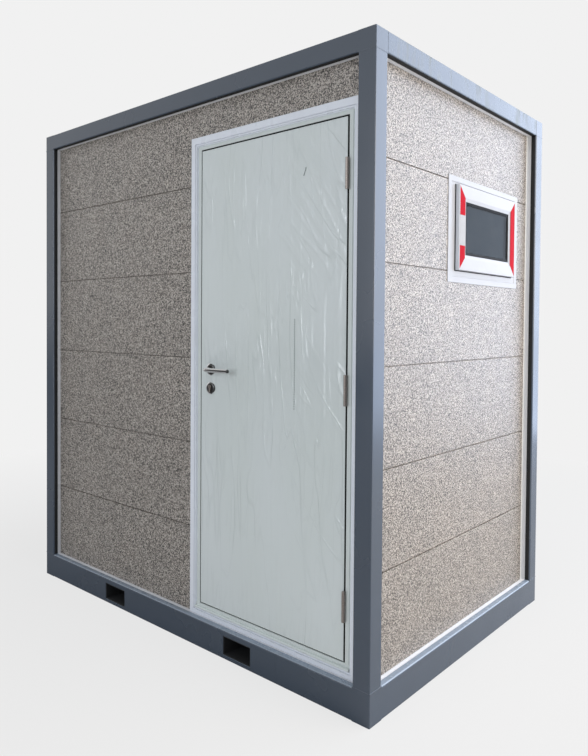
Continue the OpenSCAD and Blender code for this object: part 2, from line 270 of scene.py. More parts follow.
def protective_film(name, colour, milky):
    """Stretched polythene film stuck on the coated leaf: milky where it lifts, creased and glossy all over, with
    painted shade darkening the creases.
    """
    material, tree, output, place = new_material(name)
    broad = fractal(tree, stretched(tree, place, (1.0, 1.0, 0.35)), 260, 2, 0.5)
    tint = blend(tree, ramp(tree, broad, 0.35, 0.68, 0.0, 0.6), colour, milky)
    upright = creases(tree, place, 75, 0.022, 0.03, 0.13)
    fine = creases(tree, place, 34, 0.034, -0.05, 0.12)
    slanting = creases(tree, place, 110, 0.022, 0.62, 0.20)
    hinge_side = ramp(tree, add(tree, "ShaderNodeSeparateXYZ", {0: place}).outputs["X"], 0.62, 0.9)
    patch = ramp(tree, fractal(tree, place, 300, 1), 0.42, 0.6)
    upright = calc(tree, "MULTIPLY", upright, ramp(tree, patch, 0.0, 1.0, 0.3, 1.0))
    slanting = calc(tree, "MULTIPLY", slanting, calc(tree, "MULTIPLY", hinge_side, 0.9))
    fine = calc(tree, "MULTIPLY", fine, calc(tree, "MULTIPLY", patch, 0.45))
    folds = calc(tree, "MAXIMUM", upright, calc(tree, "MAXIMUM", fine, slanting))
    # Painted shade: the colour is darkened along the folds.
    tint = blend(tree, calc(tree, "MULTIPLY", folds, 0.10), tint, linear("#8E9A98"))
    slack = fractal(tree, stretched(tree, place, (1.0, 1.0, 0.2)), 45, 2, 0.5, 0.5)
    normal = bump(tree, slack, 2.6, 0.6)
    normal = bump(tree, folds, 1.4, 0.9, normal)
    shade(tree, output, tint, ramp(tree, slack, 0.35, 0.7, 0.14, 0.26), normal, IOR=1.6)
    return material


def polished_stainless(name, colour, roughness, dark):
    """Stainless steel buffed along its length, with a painted reflection: its colour is darkened where the face
    turns to the viewer and left bright on its rims.
    """
    material, tree, output, place = new_material(name)
    hair = fractal(tree, stretched(tree, place, (0.15, 1.0, 1.0)), 1.2, 3, 0.6)
    rough = ramp(tree, hair, 0.3, 0.7, roughness * 0.7, roughness * 1.3)
    facing = add(tree, "ShaderNodeLayerWeight", {"Blend": 0.5}).outputs["Facing"]
    # Painted reflection: the base colour is darkened by the dark factor where the surface faces the viewer.
    tint = blend(tree, ramp(tree, facing, 0.33, 0.44), [c * dark for c in colour[:3]] + [1], colour)
    shade(tree, output, tint, rough, bump(tree, hair, 0.02, 0.2), Metallic=1.0)
    return material


def moulded_upvc(name, colour):
    """Extruded white window plastic: smooth satin gloss, welded at the mitres."""
    material, tree, output, place = new_material(name)
    cloud = fractal(tree, place, 70, 3)
    tint = blend(tree, ramp(tree, cloud, 0.45, 0.8, 0.0, 0.10), colour, linear("#A3A199"))
    shade(tree, output, tint, ramp(tree, cloud, 0.3, 0.7, 0.34, 0.42), IOR=1.4)
    return material


def seal_rubber(name):
    """Extruded EPDM seal stock: near black, dull, with a slight bloom; the same black also paints shade in the key
    slot, in the door leaf's edge gap and round the sash.
    """
    material, tree, output, place = new_material(name)
    bloom = fractal(tree, place, 25, 3)
    tint = blend(tree, ramp(tree, bloom, 0.4, 0.8), linear("#111213"), linear("#2A2B2C"))
    shade(tree, output, tint, 0.6, Specular_IOR_Level=0.1)
    return material


def float_glass(name, colour):
    """Sealed double glazing: mirror-smooth faces over a dim room, with a faint film of dust."""
    material, tree, output, place = new_material(name)
    dust = ramp(tree, fractal(tree, place, 60, 4, 0.6), 0.45, 0.8, 0.0, 0.05)
    clear = add(tree, "ShaderNodeBsdfTransparent", {"Color": colour})
    gloss = add(tree, "ShaderNodeBsdfGlossy", {"Roughness": 0.01, "Color": (1, 1, 1, 1)})
    facing = calc(tree, "MULTIPLY", add(tree, "ShaderNodeFresnel", {"IOR": 1.5}).outputs[0], 0.22)
    pane = add(tree, "ShaderNodeMixShader", {0: facing, 1: clear.outputs[0], 2: gloss.outputs[0]})
    film = add(tree, "ShaderNodeBsdfDiffuse", {"Color": linear("#A8ACAC")})
    glass = add(tree, "ShaderNodeMixShader", {0: dust, 1: pane.outputs[0], 2: film.outputs[0]})
    tree.links.new(glass.outputs[0], output.inputs["Surface"])
    return material


def vinyl_tape(name, colour):
    """Glossy printed vinyl tape over the new frame, left plain, with painted shade darkening it along its creases.
    """
    material, tree, output, place = new_material(name)
    crease = fractal(tree, place, 18, 3)
    # Painted shade: the colour is darkened where the crease pattern is high.
    tint = blend(tree, ramp(tree, crease, 0.4, 0.75, 0.0, 0.25), colour, [c * 0.7 for c in colour[:3]] + [1])
    shade(tree, output, tint, 0.5, bump(tree, crease, 0.3, 0.3), Specular_IOR_Level=0.03)
    return material


def vinyl_floor(name, colour, fleck):
    """Welded sheet vinyl with small chips, over a cement board."""
    material, tree, output, place = new_material(name)
    chips = add(tree, "ShaderNodeTexVoronoi", {"Vector": place, "Scale": per_metre(7)}).outputs["Distance"]
    tint = blend(tree, ramp(tree, chips, 0.22, 0.3), fleck, colour)
    shade(tree, output, tint, 0.45, IOR=1.5)
    return material


def make_finishes(colours):
    """Every finish of the cabin, by name."""
    return {
        "paint": enamel_on_steel("alkyd_enamel_on_steel", colours.paint),
        "top_paint": enamel_on_steel("alkyd_enamel_with_dust_runs", colours.paint, 0.8),
        # Light blue-grey enamel for the base's upward ledges: a painted sky reflection, with some dust runs.
        "ledge_dust_and_painted_sky": enamel_on_steel("alkyd_enamel_dust_and_painted_sky_reflection", linear("#8A97A5"), 0.3),
        # Near-black coat: real on the steel inside the base, painted shade on the frame's reveals and beam
        # undersides.
        "primer_and_painted_shade": primer_on_steel("zinc_primer_and_painted_shade", colours.primer_and_painted_shade),
        "stone": stone_fleck_board(
            "stone_fleck_coated_steel", colours.board, linear("#C6BEB4"), linear("#221D19"), linear("#867C71")),
        "lining": coated_sheet("white_lining_sheet", linear("#DCDEDD"), 0.45, 0.05),
        "trim": coated_sheet("white_edge_trim", colours.trim, 0.4, 0.06),
        "casing": coated_sheet("white_casing_sheet", colours.casing, 0.28, 0.08),
        "door_frame": coated_sheet("pale_door_frame_sheet", colours.door, 0.3, 0.08),
        "film": protective_film("film_on_coated_door", colours.door, linear("#DDE3E2")),
        # Grey for the film's perforation and a short crease: real marks, their grey partly painted shade along the
        # film's cuts.
        "film_mark_and_painted_shade": coated_sheet("film_cut_marks_and_painted_shade", linear("#7F8886"), 0.4, 0.05),
        "leaf": coated_sheet("coated_door_sheet", colours.door, 0.4, 0.05),
        # The steel and hinge finishes carry a painted reflection: darker where they face the viewer.
        "steel": polished_stainless("polished_stainless_steel", linear("#E6E6E6"), 0.08, 0.09),
        "hinge": polished_stainless("brushed_stainless_steel", linear("#A89F99"), 0.32, 0.7),
        "upvc": moulded_upvc("white_upvc", linear("#B2B4B8")),
        # Whiter copy of the window plastic for faces towards -Y, the grey copy on the rest: painted light, not a
        # difference in the plastic.
        "upvc_painted_light_copy": moulded_upvc("white_upvc_painted_light_copy", linear("#E4E8EE")),
        # Black seal finish; also painted shade in the key slot, the door leaf's edge gap and round the sash.
        "rubber_and_painted_shade": seal_rubber("epdm_rubber_and_painted_shade"),
        "glass": float_glass("float_glass", linear("#7E8688")),
        "tape": vinyl_tape("red_vinyl_tape", colours.tape),
        "bare_tape": vinyl_tape("white_vinyl_tape", linear("#B4B6B8")),
        "floor": vinyl_floor("chip_vinyl_floor", linear("#6F7477"), linear("#8C9092")),
        "roof": coated_sheet("light_grey_roof_sheet", linear("#B4B8BA"), 0.45, 0.3),
    }


# ---------------------------------------------------------------------------
# Mesh helpers
# ---------------------------------------------------------------------------

def rounded(corners, steps=5):
    """An outline from (a, b, radius) corners, each radius drawn as an arc."""
    outline = []
    count = len(corners)
    for i, (a, b, radius) in enumerate(corners):
        here = Vector((a, b))
        if radius <= 0:
            outline.append(here)
            continue
        before = (Vector(corners[i - 1][:2]) - here).normalized()
        after = (Vector(corners[(i + 1) % count][:2]) - here).normalized()
        half = before.angle(after) / 2
        reach = radius / math.tan(half)
        centre = here + (before + after).normalized() * (radius / math.sin(half))
        start = here + before * reach - centre
        end = here + after * reach - centre
        turn = start.angle_signed(end)
        for step in range(steps + 1):
            outline.append(centre + Matrix.Rotation(-turn * step / steps, 2) @ start)
    return outline


def placed(axis, a, b, along):
    """A point from its two outline values and its place along the axis."""
    if axis == "X":
        return Vector((along, a, b))
    if axis == "Y":
        return Vector((a, along, b))
    return Vector((a, b, along))


def prism(mesh, outline, axis, low, high, slant=None):
    """Adds an outline drawn out along an axis. slant(a, b) gives how far each end is cut back."""
    rings = []
    for end, sign in ((low, 1), (high, -1)):
        ring = []
        for point in outline:
            shift = slant(point[0], point[1]) if slant else 0.0
            ring.append(mesh.verts.new(placed(axis, point[0], point[1], end + sign * shift)))
        rings.append(ring)
    count = len(outline)
    faces = [mesh.faces.new(rings[0]), mesh.faces.new(rings[1][::-1])]
    for i in range(count):
        j = (i + 1) % count
        faces.append(mesh.faces.new((rings[0][j], rings[0][i], rings[1][i], rings[1][j])))
    return faces


def block(mesh, low, high):
    """Adds a box."""
    outline = [(low[0], low[1]), (high[0], low[1]), (high[0], high[1]), (low[0], high[1])]
    return prism(mesh, outline, "Z", low[2], high[2])


def turned(mesh, profile, base, axis, segments=48):
    """Adds a closed profile of (radius, along) points turned about an axis through base."""
    across = {"X": (1, 2), "Y": (0, 2), "Z": (0, 1)}[axis]
    main = {"X": 0, "Y": 1, "Z": 2}[axis]
    rings = []
    for step in range(segments):
        angle = 2 * math.pi * step / segments
        ring = []
        for radius, along in profile:
            point = [0, 0, 0]
            point[across[0]] = radius * math.cos(angle)
            point[across[1]] = radius * math.sin(angle)
            point[main] = along
            ring.append(mesh.verts.new(Vector(base) + Vector(point)))
        rings.append(ring)
    count = len(profile)
    for step in range(segments):
        first, second = rings[step], rings[(step + 1) % segments]
        for i in range(count - 1):
            mesh.faces.new((first[i], first[i + 1], second[i + 1], second[i]))


def finish_mesh(name, mesh, finishes, body, replaced=(), bevel=0.0, smooth=35, flat_faces=True):
    """Turns a bmesh into a piece that rides on a body, with softened edges."""
    bmesh.ops.remove_doubles(mesh, verts=mesh.verts, dist=1e-6)
    bmesh.ops.recalc_face_normals(mesh, faces=mesh.faces)
    data = bpy.data.meshes.new(name)
    mesh.to_mesh(data)
    mesh.free()
    for material in finishes:
        data.materials.append(material)
    piece = bpy.data.objects.new(name, data)
    bpy.context.scene.collection.objects.link(piece)
    if bevel:
        soften = piece.modifiers.new("soft_edges", "BEVEL")
        soften.width = bevel
        soften.segments = 2
        soften.limit_method = "ANGLE"
        soften.angle_limit = math.radians(50)
        soften.harden_normals = False
        bake_modifiers(piece)
    piece.data.polygons.foreach_set("use_smooth", [True] * len(piece.data.polygons))
    piece.data.set_sharp_from_angle(angle=math.radians(smooth))
    if flat_faces:
        level = piece.modifiers.new("level_faces", "WEIGHTED_NORMAL")
        level.keep_sharp = True
        bake_modifiers(piece)
    if replaced:
        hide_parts(*replaced)
    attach(piece, body)
    return piece


def bake_modifiers(piece):
    """Writes the modifiers' result into the mesh."""
    bpy.context.view_layer.update()
    evaluated = piece.evaluated_get(bpy.context.evaluated_depsgraph_get())
    data = bpy.data.meshes.new_from_object(evaluated)
    piece.modifiers.clear()
    piece.data = data


def cut_boxes(mesh, boxes):
    """Cuts boxes out of one closed solid and gives back the rest."""
    recalculated = bmesh.ops.recalc_face_normals
    recalculated(mesh, faces=mesh.faces)
    piece = loose_object(mesh)
    for low, high in boxes:
        tool = bmesh.new()
        block(tool, low, high)
        recalculated(tool, faces=tool.faces)
        cutter = loose_object(tool)
        change = piece.modifiers.new("cut", "BOOLEAN")
        change.object = cutter
        change.solver = "EXACT"
        bake_modifiers(piece)
        bpy.data.objects.remove(cutter)
    rest = bmesh.new()
    rest.from_mesh(piece.data)
    bpy.data.objects.remove(piece)
    return rest


def loose_object(mesh):
    """A short-lived object holding a mesh while it is worked on."""
    data = bpy.data.meshes.new("working_shape")
    mesh.to_mesh(data)
    mesh.free()
    piece = bpy.data.objects.new("working_shape", data)
    bpy.context.scene.collection.objects.link(piece)
    return piece


def joined(meshes):
    """Several shapes as one."""
    whole = bmesh.new()
    for mesh in meshes:
        data = bpy.data.meshes.new("working_shape")
        mesh.to_mesh(data)
        mesh.free()
        whole.from_mesh(data)
        bpy.data.meshes.remove(data)
    return whole


def mirrored(outline, side_a, side_b):
    """An outline drawn for the +, + corner, moved to another corner."""
    return [(a * side_a, b * side_b) for a, b in outline]


def ring_bars(low, high, side, bottom, top):
    """The four mitred bars of a ring: (axis, outer edge, inward way, ends, width, widths of the bars it meets)."""
    return [
        ("U", low[1], 1, (low[0], high[0]), bottom, (side, side)),
        ("U", high[1], -1, (low[0], high[0]), top, (side, side)),
        ("V", low[0], 1, (low[1], high[1]), side, (bottom, top)),
        ("V", high[0], -1, (low[1], high[1]), side, (bottom, top)),
    ]


# ---------------------------------------------------------------------------
# What a user would change
# ---------------------------------------------------------------------------

class CabinSizes(bpy.types.PropertyGroup):
    board_pitch: FloatProperty(
        name="Board pitch", description="Height of one wall board", default=0.373, unit="LENGTH")
    top_board: FloatProperty(
        name="Top board", description="Height of the cut board under the top beam", default=0.338, unit="LENGTH")
    joint_w: FloatProperty(
        name="Board joint", description="Width of the groove between boards", default=0.005, unit="LENGTH")
    fold_r: FloatProperty(
        name="Fold radius", description="Bend radius of the frame's flanges", default=0.008, unit="LENGTH")
    arris_r: FloatProperty(
        name="Arris radius", description="Radius of the frame's outer edges", default=0.0035, unit="LENGTH")
    board_t: FloatProperty(
        name="Board thickness", description="Thickness of the cladding boards", default=0.016, unit="LENGTH")
    film_lift: FloatProperty(
        name="Film lift", description="How far the door's film stands off", default=0.0032, unit="LENGTH")


class CabinColours(bpy.types.PropertyGroup):
    paint: FloatVectorProperty(
        name="Frame paint", description="Enamel on the steel frame", subtype="COLOR", size=4,
        default=linear("#384554"))
    # This colour also paints shade on the frame's reveals and on the undersides of the top beams.
    primer_and_painted_shade: FloatVectorProperty(
        name="Primer", description="Primer inside the base", subtype="COLOR", size=4, default=linear("#1D1F21"))
    board: FloatVectorProperty(
        name="Board ground", description="Ground colour of the stone print", subtype="COLOR", size=4,
        default=linear("#777067"))
    trim: FloatVectorProperty(
        name="Trim", description="White trim and window plastic", subtype="COLOR", size=4,
        default=linear("#DFE0E2"))
    casing: FloatVectorProperty(
        name="Door casing", description="Coated sheet around the door", subtype="COLOR", size=4,
        default=linear("#ECF0F6"))
    door: FloatVectorProperty(
        name="Door", description="Coated sheet of the door and its frame", subtype="COLOR", size=4,
        default=linear("#D7DEDA"))
    tape: FloatVectorProperty(
        name="Tape", description="Protective tape on the window", subtype="COLOR", size=4,
        default=linear("#B4051C"))


FINISH = {}


def sizes():
    return bpy.context.scene.cabin_sizes


def stone_rows():
    """Heights of the joints between the wall boards."""
    return [SOFFIT - sizes().top_board - i * sizes().board_pitch for i in range(5)]


# ---------------------------------------------------------------------------
# Frame
# ---------------------------------------------------------------------------

def angle_outline(open_fold=True):
    """Section of a folded corner post, or of the corner between beams, drawn for the +X, +Y corner."""
    arris = sizes().arris_r
    fold, lip = (sizes().fold_r, 0.002) if open_fold else (0, 0)
    return [(p.x, p.y) for p in rounded([
        (HALF_X, HALF_Y, arris), (OPEN_X, HALF_Y, fold), (OPEN_X, HALF_Y - FLANGE, lip),
        (HALF_X - FLANGE, HALF_Y - FLANGE, 0), (HALF_X - FLANGE, OPEN_Y, lip), (HALF_X, OPEN_Y, fold),
    ])]


def second_finish(mesh, wanted):
    """Gives the second finish to the faces whose normals are wanted: near-black painted shade in the reveals and
    under the beams, a light blue-grey painted sky reflection with some real dust on the base's top ledges, or a
    whiter painted-light copy of the window plastic.
    """
    bmesh.ops.recalc_face_normals(mesh, faces=mesh.faces)
    for face in mesh.faces:
        if wanted(face.normal):
            face.material_index = 1


class CABIN_OT_posts(bpy.types.Operator):
    """Builds the four folded corner posts"""
    bl_idname = "cabin.posts"
    bl_label = "Corner posts"

    def execute(self, context):
        outline = angle_outline()
        for name, side_x, side_y in (
            ("post_front_left", -1, -1), ("post_front_right", 1, -1),
            ("post_back_left", -1, 1), ("post_back_right", 1, 1),
        ):
            mesh = bmesh.new()
            prism(mesh, mirrored(outline, side_x, side_y), "Z", BASE_TOP, SOFFIT)
            # Faces turned towards the opening get the near-black coat: painted shade in the reveals.
            second_finish(mesh, lambda n: n.x * side_x < -0.9 or n.y * side_y < -0.9)
            finish_mesh("folded_" + name, mesh, [FINISH["paint"], FINISH["primer_and_painted_shade"]], "cabin", [name], bevel=0.0012)
        return {"FINISHED"}


class CABIN_OT_top_frame(bpy.types.Operator):
    """Builds the top beams and their corner blocks"""
    bl_idname = "cabin.top_frame"
    bl_label = "Top frame"

    def execute(self, context):
        fold, arris = sizes().fold_r * 0.7, 0.002
        for name, axis, half, run, side in (
            ("top_beam_front", "X", HALF_Y, OPEN_X, -1), ("top_beam_back", "X", HALF_Y, OPEN_X, 1),
            ("top_beam_left", "Y", HALF_X, OPEN_Y, -1), ("top_beam_right", "Y", HALF_X, OPEN_Y, 1),
        ):
            outline = rounded([
                (side * half, SOFFIT, fold), (side * half, TOP, arris),
                (side * (half - FLANGE), TOP, arris), (side * (half - FLANGE), SOFFIT, 0.0015),
            ])
            mesh = bmesh.new()
            prism(mesh, outline, axis, -run, run)
            # Downward faces get the near-black coat: painted shade under the beams.
            second_finish(mesh, lambda n: n.z < -0.9)
            paint = FINISH["top_paint"] if name == "top_beam_right" else FINISH["paint"]
            finish_mesh("folded_" + name, mesh, [paint, FINISH["primer_and_painted_shade"]], "cabin", [name])
        mesh = bmesh.new()
        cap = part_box("top_corner_blocks")
        cap_low = TOP - 0.011
        for side_x in (-1, 1):
            for side_y in (-1, 1):
                prism(mesh, mirrored(angle_outline(False), side_x, side_y), "Z", SOFFIT, cap_low)
                outline = rounded([
                    (HALF_X, HALF_Y, sizes().arris_r), (OPEN_X, HALF_Y, 0), (OPEN_X, OPEN_Y, 0.006),
                    (HALF_X, OPEN_Y, 0),
                ])
                prism(mesh, mirrored([(p.x, p.y) for p in outline], side_x, side_y), "Z", cap_low, cap[1].z)
        finish_mesh("pressed_top_corners", mesh, [FINISH["paint"]], "cabin", ["top_corner_blocks"])
        return {"FINISHED"}


class CABIN_OT_base_frame(bpy.types.Operator):
    """Builds the base beams with their fork holes, and the steel under the floor"""
    bl_idname = "cabin.base_frame"
    bl_label = "Base frame"

    def execute(self, context):
        fold, arris = sizes().fold_r, sizes().arris_r
        reach = BASE_BEAM[1].y - BASE_BEAM[0].y
        for name, axis, half, run, inner_run, side in (
            ("base_beam_front", "X", HALF_Y, OPEN_X, HALF_X - FLANGE, -1),
            ("base_beam_back", "X", HALF_Y, OPEN_X, HALF_X - FLANGE, 1),
            ("base_beam_left", "Y", HALF_X, OPEN_Y, HALF_Y - reach, -1),
            ("base_beam_right", "Y", HALF_X, OPEN_Y, HALF_Y - reach, 1),
        ):
            face = rounded([
                (side * half, 0, arris), (side * half, BASE_TOP, fold),
                (side * (half - FLANGE), BASE_TOP, 0.0015), (side * (half - FLANGE), 0, 0),
            ])
            inner = [
                (side * (half - FLANGE), 0), (side * (half - FLANGE), BEARING),
                (side * (half - reach), BEARING), (side * (half - reach), 0),
            ]
            holes = []
            if axis == "X":
                for tube in ("fork_tube_left", "fork_tube_right"):
                    low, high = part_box(tube)
                    ends = sorted((side * (half + 0.01), side * (half - reach - 0.01)))
                    holes.append(((low.x, ends[0], low.z), (high.x, ends[1], high.z)))
            shapes = []
            for outline, length in ((face, run), (inner, inner_run)):
                mesh = bmesh.new()
                prism(mesh, outline, axis, -length, length)
                shapes.append(cut_boxes(mesh, holes))
            whole = joined(shapes)
            # Upward faces get the light blue-grey finish: painted sky reflection on the ledges.
            second_finish(whole, lambda n: n.z > 0.6)
            finish_mesh("folded_" + name, whole, [FINISH["paint"], FINISH["ledge_dust_and_painted_sky"]], "cabin", [name])
        mesh = bmesh.new()
        for side_x in (-1, 1):
            for side_y in (-1, 1):
                prism(mesh, mirrored(angle_outline(False), side_x, side_y), "Z", 0, BASE_TOP)
        finish_mesh("pressed_base_corners", mesh, [FINISH["paint"]], "cabin", ["base_corner_blocks"])
        for node in ("fork_tube_left", "fork_tube_right", "cross_beam"):
            dress(node, FINISH["primer_and_painted_shade"])
        return {"FINISHED"}


class CABIN_OT_welds(bpy.types.Operator):
    """Lays the painted weld beads where the posts meet the beams"""
    bl_idname = "cabin.welds"
    bl_label = "Weld beads"

    def execute(self, context):
        mesh = bmesh.new()
        bead, proud = 0.0035, 0.0010
        for side_x in (-1, 1):
            for side_y in (-1, 1):
                for level in (BASE_TOP, SOFFIT):
                    bead_run(mesh, "X", side_y * HALF_Y, level, side_x * OPEN_X, side_x * HALF_X, bead, proud)
                    bead_run(mesh, "Y", side_x * HALF_X, level, side_y * OPEN_Y, side_y * HALF_Y, bead, proud)
                bead_run(mesh, "Z", side_x * HALF_X, side_y * OPEN_Y, SOFFIT, TOP - 0.002, bead, proud)
        butt_x = 0.594 * HALF_X
        bead_run(mesh, "ZY", -HALF_Y, butt_x, 0.018, BASE_TOP - 0.006, 0.003, 0.0008)
        finish_mesh("weld_beads", mesh, [FINISH["paint"]], "cabin", smooth=70)
        return {"FINISHED"}


def bead_run(mesh, axis, face, level, start, end, width, proud):
    """One bead standing on an outer face, a little uneven along its length."""
    low, high = sorted((start, end))
    outward = math.copysign(1, face)
    count = max(4, int((high - low) / 0.004))
    rings = []
    for i in range(count + 1):
        along = low + (high - low) * i / count
        swell = 1 + 0.35 * noise.noise(Vector((along * 170, level * 31, face * 17)))
        ring = []
        for step in range(6):
            angle = math.pi * step / 5
            across = math.cos(angle) * width / 2 * swell
            out = face + outward * (math.sin(angle) * proud * swell - 0.0003)
            if axis == "X":
                ring.append(mesh.verts.new((along, out, level + across)))
            elif axis == "Y":
                ring.append(mesh.verts.new((out, along, level + across)))
            elif axis == "Z":
                ring.append(mesh.verts.new((out, level + across, along)))
            else:
                ring.append(mesh.verts.new((level + across, out, along)))
        rings.append(ring)
    for first, second in zip(rings, rings[1:]):
        for i in range(6):
            mesh.faces.new((first[i], first[(i + 1) % 6], second[(i + 1) % 6], second[i]))
    mesh.faces.new(rings[0])
    mesh.faces.new(rings[-1][::-1])


def dress(node, material):
    """Gives a node of the construction model its finish."""
    data = frame["nodes"][node].data
    data.materials.clear()
    data.materials.append(material)


# ---------------------------------------------------------------------------
# Walls
# ---------------------------------------------------------------------------

def board_outline(low, high, outer, side):
    """Section of boards between two heights: (depth, height), with a groove at each joint."""
    half = sizes().joint_w / 2
    deep = 0.006
    inner = outer - side * sizes().board_t
    outline = [(inner, low), (outer, low)]
    for joint in sorted(stone_rows()):
        if low + 0.01 < joint < high - 0.01:
            outline += [
                (outer, joint - half), (outer - side * deep, joint - half * 0.5),
                (outer - side * deep, joint + half * 0.5), (outer, joint + half),
            ]
    return outline + [(outer, high), (inner, high)]


def wall_piece(node, axis, outer, side, spans, lining_spans):
    """A wall of boards over an inner lining. Spans are (start, end, low, high)."""
    mesh = bmesh.new()
    for start, end, low, high in spans:
        prism(mesh, board_outline(low, high, outer, side), axis, start, end)
    lining = []
    shell = outer - side * sizes().board_t
    inner = outer - side * WALL_T
    for start, end, low, high in lining_spans:
        ends = sorted((shell, inner))
        outline = [(ends[0], low), (ends[1], low), (ends[1], high), (ends[0], high)]
        lining += prism(mesh, outline, axis, start, end)
    for face in lining:
        face.material_index = 1
    return finish_mesh("boarded_" + node, mesh, [FINISH["stone"], FINISH["lining"]], "cabin", [node], smooth=30)


class CABIN_OT_walls(bpy.types.Operator):
    """Builds the boarded walls"""
    bl_idname = "cabin.walls"
    bl_label = "Boarded walls"

    def execute(self, context):
        top = BACK_WALL[1].z
        for node, side in (("front_wall_latch_side", -1), ("front_wall_over_door", -1),
                           ("front_wall_hinge_side", -1), ("back_wall", 1)):
            low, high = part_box(node)
            span = [(low.x, high.x, low.z, high.z)]
            wall_piece(node, "X", side * WALL_OUT_Y, side, span, span)
        low, high = LEFT_WALL
        span = [(low.y, high.y, low.z, high.z)]
        wall_piece("left_wall", "Y", -WALL_OUT_X, -1, span, span)
        low, high = WINDOW_WALL
        hole_low, hole_high = WFRAME
        spans = [
            (low.y, hole_low.y, low.z, high.z), (hole_high.y, high.y, low.z, high.z),
            (hole_low.y, hole_high.y, low.z, hole_low.z), (hole_low.y, hole_high.y, hole_high.z, high.z),
        ]
        wall_piece("window_wall", "Y", WALL_OUT_X, 1, spans, spans)
        return {"FINISHED"}


class CABIN_OT_trims(bpy.types.Operator):
    """Builds the white edge trims with their fine groove"""
    bl_idname = "cabin.trims"
    bl_label = "Edge trims"

    def execute(self, context):
        groove, deep = 0.0016, 0.0016
        for node, axis, outer, inner, open_half in (
            ("trim_front", "X", -(HALF_Y - FLANGE), -WALL_OUT_Y, OPEN_X),
            ("trim_back", "X", HALF_Y - FLANGE, WALL_OUT_Y, OPEN_X),
            ("trim_left", "Y", -(HALF_X - FLANGE), -WALL_OUT_X, OPEN_Y),
            ("trim_right", "Y", HALF_X - FLANGE, WALL_OUT_X, OPEN_Y),
        ):
            low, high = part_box(node)
            half = high.x if axis == "X" else high.y
            middle = outer + (inner - outer) * 0.45
            turn = math.copysign(1, inner - outer)
            mesh = bmesh.new()
            for edge, out_edge, into in ((BASE_TOP, low.z, 1), (SOFFIT, high.z, -1)):
                outline = [
                    (outer, out_edge), (outer, edge), (middle - turn * groove, edge),
                    (middle, edge - into * deep), (middle + turn * groove, edge), (inner, edge), (inner, out_edge),
                ]
                prism(mesh, outline, axis, -half, half)
            for side in (-1, 1):
                edge, out_edge = side * open_half, side * half
                outline = [
                    (outer, out_edge), (outer, edge), (middle - turn * groove, edge),
                    (middle, edge + side * deep), (middle + turn * groove, edge), (inner, edge), (inner, out_edge),
                ]
                if axis == "Y":
                    prism(mesh, outline, "Z", BASE_TOP, SOFFIT)
                else:
                    prism(mesh, [(b, a) for a, b in outline], "Z", BASE_TOP, SOFFIT)
            finish_mesh("folded_" + node, mesh, [FINISH["trim"]], "cabin", [node], smooth=30)
        return {"FINISHED"}


class CABIN_OT_floor_and_roof(bpy.types.Operator):
    """Gives the floor its vinyl and the roof its ribbed sheet"""
    bl_idname = "cabin.floor_and_roof"
    bl_label = "Floor and roof"

    def execute(self, context):
        dress("floor_board", FINISH["floor"])
        low, high = ROOF
        mesh = bmesh.new()
        skin = 0.006
        faces = block(mesh, (low.x, low.y, low.z), (high.x, high.y, high.z - skin))
        for face in faces:
            face.material_index = 1
        rib_w, rib_h, count = 0.022, 0.010, 7
        pitch = (high.x - low.x) / count
        outline = [(low.x, high.z - skin), (high.x, high.z - skin)]
        top = high.z - 0.002
        points = []
        for i in range(count):
            start = high.x - i * pitch
            points += [(start - pitch / 2 + rib_w, top), (start - pitch / 2 + rib_w * 0.6, top + rib_h)]
            points += [(start - pitch / 2 - rib_w * 0.6, top + rib_h), (start - pitch / 2 - rib_w, top)]
        prism(mesh, outline + [(high.x, top)] + points + [(low.x, top)], "Y", low.y, high.y)
        finish_mesh("ribbed_roof", mesh, [FINISH["roof"], FINISH["lining"]], "cabin", ["roof_panel"], smooth=30)
        return {"FINISHED"}


# ---------------------------------------------------------------------------
# Door
# ---------------------------------------------------------------------------

def mitred_bar(mesh, section, bar, plane):
    """Adds one mitred bar. section gives (depth, across) points, across counted from the outer edge."""
    run, edge, direction, ends, width, others = bar
    outline = section(width)
    rings = []
    for end, sign, other in zip(ends, (1, -1), others):
        ring = []
        for depth, across in outline:
            along = end + sign * across * (other / width)
            level = edge + direction * across
            if plane == "Y":
                point = (along, depth, level) if run == "U" else (level, depth, along)
            else:
                point = (depth, along, level) if run == "U" else (depth, level, along)
            ring.append(mesh.verts.new(point))
        rings.append(ring)
    count = len(outline)
    faces = [mesh.faces.new(rings[0]), mesh.faces.new(rings[1][::-1])]
    for i in range(count):
        j = (i + 1) % count
        faces.append(mesh.faces.new((rings[0][j], rings[0][i], rings[1][i], rings[1][j])))
    return faces


